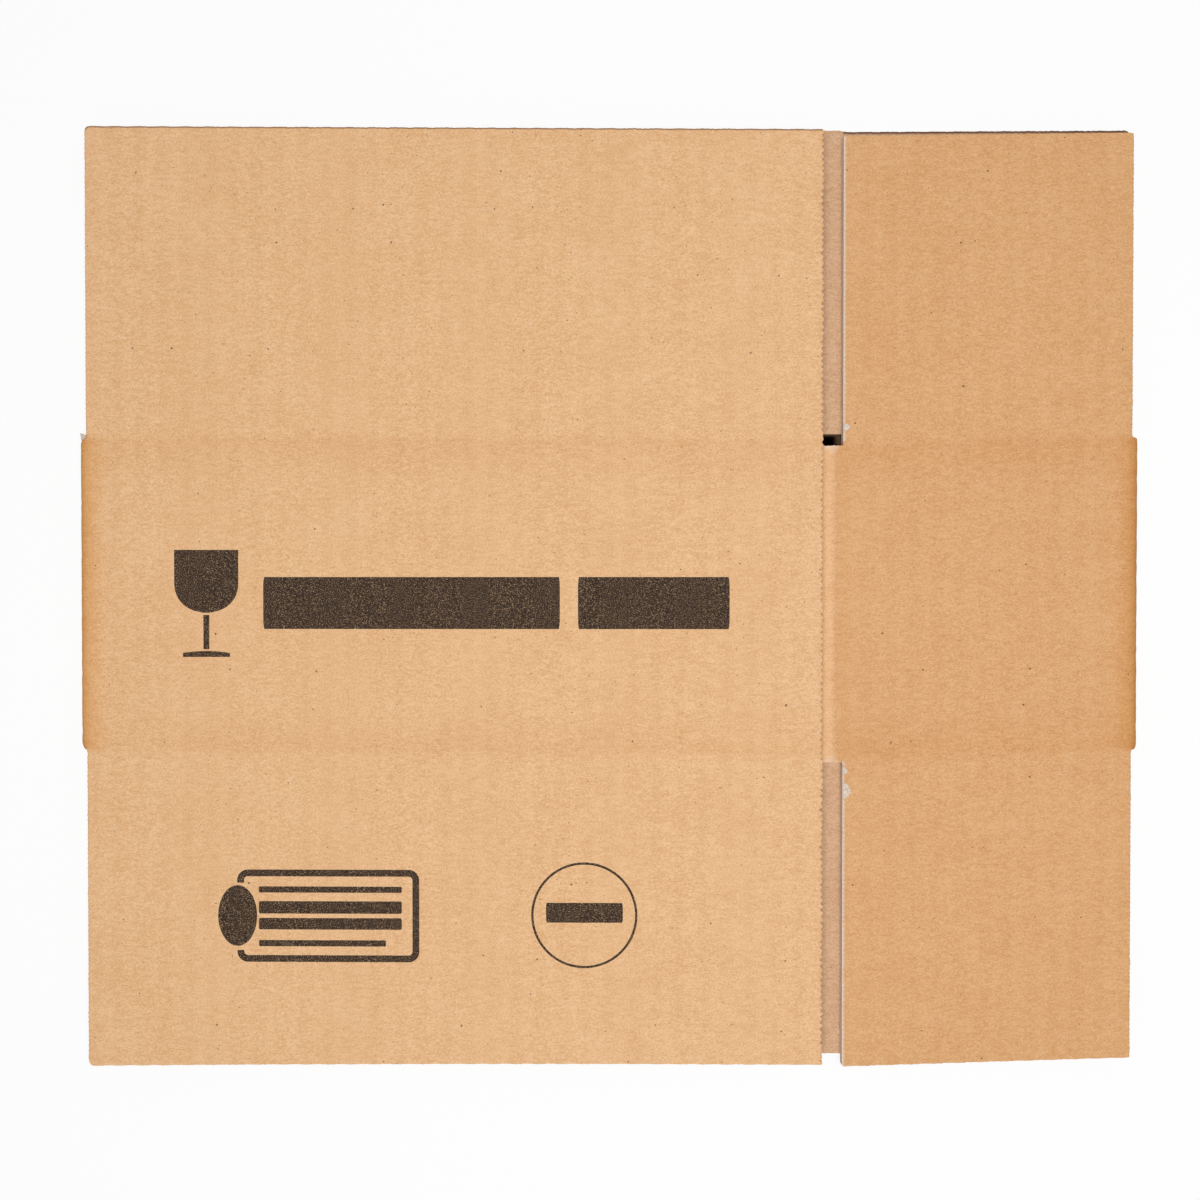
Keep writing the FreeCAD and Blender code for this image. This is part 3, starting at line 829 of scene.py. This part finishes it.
def empty_material(name):
    """A new material with an empty tree: the material, its tree and its object coordinates."""
    material = bpy.data.materials.new(name)
    tree = empty_tree(material)
    return material, tree, node(tree, "ShaderNodeTexCoord")["Object"]


def fibre_field(tree, place, per_mm, detail):
    """Noise from 0 to 1 with the given number of cells to the millimetre along x, y and z."""
    cells = tuple(rate / MM for rate in per_mm)
    stretched = node(tree, "ShaderNodeMapping", {"Vector": place, "Scale": cells})[0]
    inputs = {"Vector": stretched, "Scale": 1.0, "Detail": detail, "Roughness": 0.6}
    return node(tree, "ShaderNodeTexNoise", inputs)[0]


def opaque(tint):
    """A colour with its fourth channel, from a hex code or from linear red, green and blue."""
    return (*(srgb(tint) if isinstance(tint, str) else tint), 1.0)


def coats(tree, ground, layers):
    """A ground colour with coats laid over it in turn, each a share, a colour and a way to blend."""
    base = opaque(ground)
    for share, tint, blend in layers:
        inputs = {0: share, 6: base, 7: opaque(tint)}
        base = node(tree, "ShaderNodeMix", inputs, data_type="RGBA", blend_type=blend)[2]
    return base


def paper_skin(tree, base, height, bump, depth, roughness, gloss):
    """The surface of paper, ink or fibre, joined to the output: its colour, its relief to a depth in
    millimetres, its roughness, and a gloss well under that of plastic."""
    relief = node(tree, "ShaderNodeBump", {"Height": height, "Strength": bump, "Distance": depth * MM})[0]
    inputs = {"Base Color": base, "Normal": relief, "Roughness": roughness, "Specular IOR Level": gloss}
    skin = node(tree, "ShaderNodeBsdfPrincipled", inputs)[0]
    node(tree, "ShaderNodeOutputMaterial", {"Surface": skin})


# How each attribute of a liner deepens its colour: the tint that it multiplies by, and its full share.
# Tone is the liner's own tone; fold is burnishing and painted shade; crease and end are painted shade.
FACT_TINTS = {
    "tone": ("F3E9DC", 1.0),
    # burnishing, and painted shade of the fold's rounding
    "fold": ("F4DBAC", 1.0),
    # painted shade along each crease
    "crease": ("FAF5EE", 0.8),
    # painted shade along the cut ends of some flaps
    "end": ("6B4A30", 0.92),
}
# Near black of the painted shade in the hollow under the slot root.
PAINTED_PIT_SHADE = "040302"
SPECK_CELL = 12 * MM


def liner_material(name, light, deep, torn, sizes, mottle, bump):
    """Uncoated liner off a paper machine. Fibres lie along x, across the flutes: bundles a millimetre
    wide and about three long with finer grain in them, clouds of formation 15 mm across, sparse dark
    specks and pale flecks, and a faint tone at each flute for the glue lines that is also painted shade
    of the washboard. Cut edges show torn fibres. Rolled folds are burnished and carry painted shade,
    creases and some flap ends carry painted shade, and the hollow under the slot root is painted near
    black as its shade."""
    material, tree, place = empty_material(name)
    fibres = fibre_field(tree, place, (0.32, 0.95, 0.32), 4.0)
    fine = fibre_field(tree, place, (1.6, 3.4, 1.6), 3.0)
    clouds = fibre_field(tree, place, (0.06, 0.08, 0.06), 2.0)
    dark = fibre_field(tree, place, (1.3, 1.9, 1.3), 0.5)
    pale = fibre_field(tree, place, (0.9, 2.5, 0.9), 1.5)
    cells = {"Vector": place, "Scale": 1 / SPECK_CELL}
    spots = node(tree, "ShaderNodeTexVoronoi", cells, voronoi_dimensions="2D")
    x = node(tree, "ShaderNodeSeparateXYZ", (place,))[0]
    phase = node(tree, "ShaderNodeMath", (x, TURN / sizes.flute_pitch), operation="MULTIPLY")[0]
    flute = node(tree, "ShaderNodeMath", (phase,), operation="COSINE")[0]
    grain = (fibres, 0.32, 0.68, 0.5 - 0.52 * mottle, 0.5 + 0.52 * mottle)
    depth = node(tree, "ShaderNodeMapRange", grain)[0]
    for field, low, high, swing in (
        (fine, 0.3, 0.7, 1.5 * mottle),
        (clouds, 0.35, 0.65, 0.08),
        # A faint deeper tone at each flute: the glue lines, and painted shade of the washboard.
        (flute, -1.0, 1.0, 0.05),
    ):
        part = node(tree, "ShaderNodeMapRange", (field, low, high, -swing, swing))[0]
        depth = node(tree, "ShaderNodeMath", (depth, part), operation="ADD")[0]
    layers = [(depth, deep, "MIX")]
    for fact, (tint, most) in FACT_TINTS.items():
        amount = node(tree, "ShaderNodeAttribute", attribute_name=fact)["Fac"]
        share = node(tree, "ShaderNodeMapRange", (amount, 0.0, 1.0, 0.0, most))[0]
        layers.append((share, tint, "MULTIPLY"))
    reach = node(tree, "ShaderNodeMapRange", (spots["Color"], 0.45, 1.0, 0.0, 0.04))[0]
    inside = node(tree, "ShaderNodeMath", (reach, spots["Distance"]), operation="SUBTRACT")[0]
    cut = node(tree, "ShaderNodeAttribute", attribute_name="cut")["Fac"]
    ragged = node(tree, "ShaderNodeMath", (cut, fine), operation="MULTIPLY")[0]
    for field, low, high, most, tint in (
        (dark, 0.78, 0.79, 0.8, "6E4A2C"),
        (inside, 0.0, 0.012, 0.85, "4E3322"),
        (pale, 0.68, 0.76, 0.6, "F1DCC2"),
        (ragged, 0.15, 0.5, 0.9, torn),
    ):
        share = node(tree, "ShaderNodeMapRange", (field, low, high, 0.0, most))[0]
        layers.append((share, tint, "MIX"))
    # Painted shade: the hollow under the slot root turns near black and loses its gloss.
    soot = node(tree, "ShaderNodeAttribute", attribute_name="soot")["Fac"]
    layers.append((soot, PAINTED_PIT_SHADE, "MIX"))
    base = coats(tree, light, layers)
    gloss = node(tree, "ShaderNodeMapRange", (soot, 0.0, 0.6, 0.25, 0.0))[0]
    height = node(tree, "ShaderNodeMath", (fibres, fine), operation="ADD")[0]
    paper_skin(tree, base, height, bump, depth=0.05, roughness=0.86, gloss=gloss)
    return material


def medium_material(name, body, torn):
    """Recycled fluting paper: dull, darker than the liners, with pale fibres where the cut laid it bare,
    and near black in the hollow under the slot root as painted shade.
    """
    material, tree, place = empty_material(name)
    fibres = fibre_field(tree, place, (0.5, 1.8, 0.9), 4.0)
    cut, soot = (node(tree, "ShaderNodeAttribute", attribute_name=fact)["Fac"] for fact in ("cut", "soot"))
    uneven = node(tree, "ShaderNodeMapRange", (fibres, 0.3, 0.7))[0]
    bare = node(tree, "ShaderNodeMapRange", (cut, 0.15, 0.7, 0.0, 0.9))[0]
    # Painted shade: the medium turns near black in the hollow under the slot root.
    base = coats(tree, body, ((uneven, "C29C74", "MIX"), (bare, torn, "MIX"), (soot, PAINTED_PIT_SHADE, "MIX")))
    paper_skin(tree, base, fibres, bump=0.5, depth=0.08, roughness=0.93, gloss=0.2)
    return material


def ink_material(name, ink, kraft):
    """Water-based flexographic ink, printed on bare kraft: matte, thin, with the liner showing through
    in pinholes and along its fibres."""
    material, tree, place = empty_material(name)
    fibres = fibre_field(tree, place, (0.9, 3.2, 0.9), 4.0)
    pores = fibre_field(tree, place, (3.0, 4.0, 3.0), 2.0)
    thin = node(tree, "ShaderNodeMapRange", (fibres, 0.35, 0.7, 0.0, 0.25))[0]
    holes = node(tree, "ShaderNodeMapRange", (pores, 0.55, 0.76, 0.0, 0.8))[0]
    base = coats(tree, ink, ((thin, "705C4D", "MIX"), (holes, kraft, "MIX")))
    paper_skin(tree, base, fibres, bump=0.3, depth=0.04, roughness=0.8, gloss=0.15)
    return material


def torn_material(name, torn):
    """Felted fibres pulled out of the board: pale, rough and uneven."""
    material, tree, place = empty_material(name)
    fibres = fibre_field(tree, place, (1.2, 2.4, 1.2), 5.0)
    uneven = node(tree, "ShaderNodeMapRange", (fibres, 0.35, 0.7))[0]
    base = coats(tree, torn, ((uneven, "C3A88A", "MIX"),))
    paper_skin(tree, base, fibres, bump=0.9, depth=0.15, roughness=0.97, gloss=0.15)
    return material


def glue_material(name, glue):
    """Dried resin glue: a brown, half-gloss film with streaks where it was rolled on."""
    material, tree, place = empty_material(name)
    streaks = fibre_field(tree, place, (1.5, 0.2, 1.5), 3.0)
    uneven = node(tree, "ShaderNodeMapRange", (streaks, 0.3, 0.7))[0]
    dull = node(tree, "ShaderNodeMapRange", (streaks, 0.3, 0.7, 0.35, 0.6))[0]
    base = coats(tree, glue, ((uneven, "B79668", "MIX"),))
    skin = node(tree, "ShaderNodeBsdfPrincipled", {"Base Color": base, "Roughness": dull})[0]
    node(tree, "ShaderNodeOutputMaterial", {"Surface": skin})
    return material


def sizes_and_colours():
    """The two groups of values that the panel shows."""
    scene = bpy.context.scene
    return scene.case_sizes, scene.case_colours


BOARD_MATERIALS = ("kraft_liner_calendered", "fluting_medium_pressed", "testliner_recycled")


def board_materials():
    """The outer liner, medium and inner liner, made once and shared by every board."""
    sizes, colours = sizes_and_colours()
    made = [bpy.data.materials.get(name) for name in BOARD_MATERIALS]
    if all(made):
        return made
    outer, medium, inner = BOARD_MATERIALS
    kraft = (colours.kraft, colours.kraft_deep, colours.torn)
    testliner = (colours.testliner, colours.testliner_deep, colours.torn)
    return [
        liner_material(outer, *kraft, sizes, mottle=0.5, bump=0.35),
        medium_material(medium, colours.medium, colours.torn),
        liner_material(inner, *testliner, sizes, mottle=0.7, bump=0.45),
    ]


class CASE_OT_sleeve(bpy.types.Operator):
    """Build the folded strip of four walls with its glue tab"""

    bl_idname = "case.sleeve"
    bl_label = "Sleeve"

    def execute(self, context):
        sizes = context.scene.case_sizes
        piece = new_piece("sleeve_board", sleeve_slabs(sizes), board_materials())
        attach(piece, "sleeve")
        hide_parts("case_sleeve")
        tab = new_piece("tab_board", tab_slabs(sizes), board_materials())
        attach(tab, "sleeve")
        return {"FINISHED"}


class CASE_OT_flaps(bpy.types.Operator):
    """Build the eight flaps, each with the bent board of its crease"""

    bl_idname = "case.flaps"
    bl_label = "Flaps"

    def execute(self, context):
        sizes = context.scene.case_sizes
        for wall in (LONG_FRONT, SHORT_FRONT, LONG_BACK, SHORT_BACK):
            for height, side in (("upper", 1), ("lower", -1)):
                body = f"{wall.place}_{height}"
                piece = new_piece(f"{body}_board", flap_slabs(wall, side, sizes), board_materials())
                x = (wall.left + wall.right) / 2
                crease = np.array((x, wall.middle_at(x) + side * wall.half, wall.height + wall.slope * x))
                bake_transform(piece)
                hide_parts(f"{body}_flap")
        return {"FINISHED"}


class CASE_OT_glue(bpy.types.Operator):
    """Give the glue between the tab and the long wall its finish"""

    bl_idname = "case.glue"
    bl_label = "Glue"

    def execute(self, context):
        film = frame["nodes"]["glue_seam"]
        film.data.materials.clear()
        film.data.materials.append(glue_material("resin_glue_dried", context.scene.case_colours.glue))
        return {"FINISHED"}


class CASE_OT_print(bpy.types.Operator):
    """Print the goblet sign and the plain bars, frame and ring"""

    bl_idname = "case.print"
    bl_label = "Print"

    def execute(self, context):
        sizes, colours = sizes_and_colours()
        ink = ink_material("flexographic_ink", colours.ink, colours.kraft)
        wall_films = goblet_films(sizes)
        wall_films += [ink_bar(**bar, sizes=sizes) for bar in WALL_BARS]
        flap_films = [
            ink_frame(**PRINTED_FRAME, sizes=sizes),
            ink_oval(**PRINTED_OVAL, sizes=sizes),
            ink_ring(**PRINTED_RING, sizes=sizes),
        ]
        flap_films += [ink_bar(**bar, sizes=sizes) for bar in FLAP_BARS]
        for name, films, body in (
            ("wall_print", wall_films, "sleeve"),
            ("flap_print", flap_films, "front_long_lower"),
        ):
            piece = new_piece(name, films, [ink])
            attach(piece, body)
        return {"FINISHED"}


class CASE_OT_tears(bpy.types.Operator):
    """Lay the small torn tufts of fibre beside the slot and at the left fold"""

    bl_idname = "case.tears"
    bl_label = "Torn tufts"

    def execute(self, context):
        sizes, colours = sizes_and_colours()
        torn = torn_material("board_fibres_torn", colours.torn)
        for (name, body), tear in TUFTS.items():
            piece = new_piece(name, [torn_flake(**tear, sizes=sizes)], [torn])
            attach(piece, body)
        return {"FINISHED"}


class CASE_OT_stage(bpy.types.Operator):
    """Set the pale floor, the soft light, the world and the camera"""

    bl_idname = "case.stage"
    bl_label = "Stage"

    def execute(self, context):
        scene = context.scene
        scene.view_settings.view_transform = "Standard"
        white_floor()
        camera_above(scene)
        soft_lights(scene)
        return {"FINISHED"}


def camera_rays(tree):
    """1 where the camera sees a surface itself, in a gloss or through glass."""
    path = node(tree, "ShaderNodeLightPath")
    seen = path["Is Camera Ray"]
    for other in ("Is Glossy Ray", "Is Transmission Ray"):
        seen = node(tree, "ShaderNodeMath", (seen, path[other]), operation="MAXIMUM")[0]
    return seen


def white_floor():
    """Matte white paper floor under the case: where the camera sees it most of its white is its own,
    and the rest is lit, so that the case's soft shadow stays on it."""
    half, gap, thickness = 3.0, 0.05 * MM, 5 * MM
    y, x = np.meshgrid((-half, half), (-half, half), indexing="ij")
    top = np.stack((x, y, np.full_like(x, -gap)), -1)
    bottom = top - np.array((0, 0, thickness))
    material = bpy.data.materials.new("seamless_paper_white")
    tree = empty_tree(material)
    seen = camera_rays(tree)
    white = node(tree, "ShaderNodeMapRange", (seen, 0.0, 1.0, 0.35, 0.98))[0]
    paper = node(tree, "ShaderNodeBsdfDiffuse", {"Color": white})[0]
    glow = node(tree, "ShaderNodeEmission", {"Color": (1, 1, 1, 1), "Strength": 1.0})[0]
    share = node(tree, "ShaderNodeMapRange", (seen, 0.0, 1.0, 0.0, 0.8))[0]
    both = node(tree, "ShaderNodeMixShader", (share, paper, glow))[0]
    node(tree, "ShaderNodeOutputMaterial", {"Surface": both})
    floor = new_piece("floor", [slab(top, bottom)], [material])


def camera_above(scene):
    """A lens half a metre above the case, a degree off plumb, framed as the photograph is."""
    data = bpy.data.cameras.new("camera")
    camera = bpy.data.objects.new("camera", data)
    scene.collection.objects.link(camera)
    distance = 500 * MM
    lean = np.radians(0.8)
    frame_width = 406.8 * MM
    across, along, board_top = -3.1 * MM, 6.1 * MM, 6 * MM
    data.sensor_width = 36
    data.lens = data.sensor_width * distance / frame_width
    camera.location = (across, along, distance + board_top)
    camera.rotation_euler = (-lean, 0, 0)
    scene.camera = camera


def soft_lights(scene):
    """An even white surround, a broad light from the left, and a soft box over the right of the case."""
    surround = 0.22
    world = bpy.data.worlds.new("surround")
    scene.world = world
    tree = empty_tree(world)
    strength = node(tree, "ShaderNodeMapRange", (camera_rays(tree), 0.0, 1.0, surround, 1.0))[0]
    glow = node(tree, "ShaderNodeBackground", {"Color": (1, 1, 1, 1), "Strength": strength})[0]
    node(tree, "ShaderNodeOutputWorld", {"Surface": glow})
    main_light = bpy.data.lights.new("main_light", "SUN")
    main_light.energy = 0.33 * np.pi
    main_light.angle = np.radians(24)
    soft_box = bpy.data.lights.new("soft_box", "AREA")
    soft_box.size = 0.3
    soft_box.energy = 3.4
    for data, place, turn in ((main_light, (-0.25, 0.0, 1.0), -14), (soft_box, (0.08, -0.05, 0.85), 0)):
        lamp = bpy.data.objects.new(data.name, data)
        scene.collection.objects.link(lamp)
        lamp.location = place
        lamp.rotation_euler = (0, np.radians(turn), 0)


class CASE_PT_panel(bpy.types.Panel):
    """Sizes, colours and building steps of the case"""

    bl_label = "Shipping case"
    bl_idname = "CASE_PT_panel"
    bl_space_type = "VIEW_3D"
    bl_region_type = "UI"
    bl_category = "Shipping case"

    def draw(self, context):
        for group in (context.scene.case_sizes, context.scene.case_colours):
            for name in group.__annotations__:
                self.layout.prop(group, name)
        for step in STEPS:
            self.layout.operator(step.bl_idname)


STEPS = (CASE_OT_stage, CASE_OT_sleeve, CASE_OT_flaps, CASE_OT_glue, CASE_OT_print, CASE_OT_tears)
CLASSES = (CaseSizes, CaseColours, *STEPS, CASE_PT_panel)


def register():
    for item in CLASSES:
        bpy.utils.register_class(item)
    bpy.types.Scene.case_sizes = bpy.props.PointerProperty(type=CaseSizes)
    bpy.types.Scene.case_colours = bpy.props.PointerProperty(type=CaseColours)


def unregister():
    del bpy.types.Scene.case_colours
    del bpy.types.Scene.case_sizes
    for item in reversed(CLASSES):
        bpy.utils.unregister_class(item)


def main():
    register()
    for step in STEPS:
        group, name = step.bl_idname.split(".")
        getattr(getattr(bpy.ops, group), name)()


if __name__ == "__main__":
    main()
